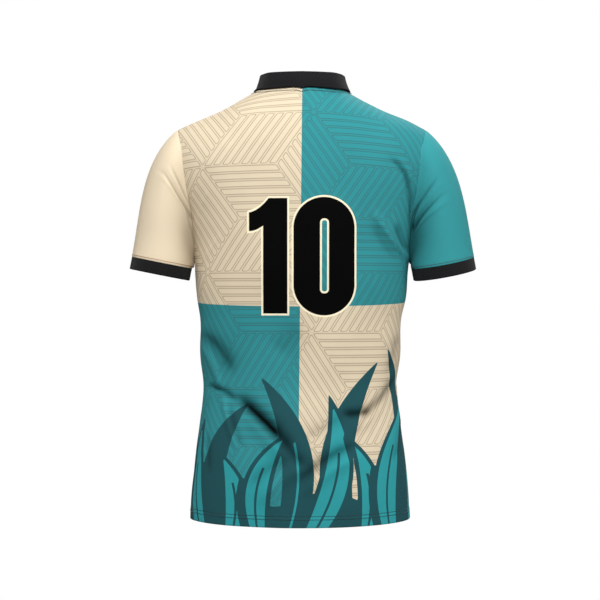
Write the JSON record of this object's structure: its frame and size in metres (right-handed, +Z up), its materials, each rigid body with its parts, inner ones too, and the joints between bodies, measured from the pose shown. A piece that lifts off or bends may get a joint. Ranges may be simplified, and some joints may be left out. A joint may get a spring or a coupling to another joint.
{
  "type": "short-sleeved cricket jersey in worn form",
  "caption": "Hollow short-sleeved sports jersey in worn form, with a knitted fold-down collar, a buttoned front placket and knitted cuffs.",
  "frame": {"origin": "middle of the neck, level with the high points of the shoulder seams, where the wearer holds the jersey", "axes": "+Z up along the body, -Y the way the front faces, +X the wearer's left"},
  "size_m": [0.5753, 0.2258, 0.7397],
  "materials": {
    "panel_cloth": "matt printed knit in cream and teal quarters",
    "sleeve_cream_cloth": "matt cream knit",
    "sleeve_teal_cloth": "matt teal knit",
    "rib_knit": "matt black rib knit",
    "button_plastic": "satin black plastic"
  },
  "bodies": {
    "root": {"back": "panel_cloth", "front": "panel_cloth", "placket_over": "sleeve_teal_cloth", "placket_under": "sleeve_teal_cloth", "sleeve_left": "sleeve_cream_cloth", "sleeve_right": "sleeve_teal_cloth", "cuff_left": "rib_knit", "cuff_right": "rib_knit", "collar": "rib_knit", "button_1": "button_plastic", "button_2": "button_plastic", "button_3": "button_plastic"}
  },
  "joints": []
}
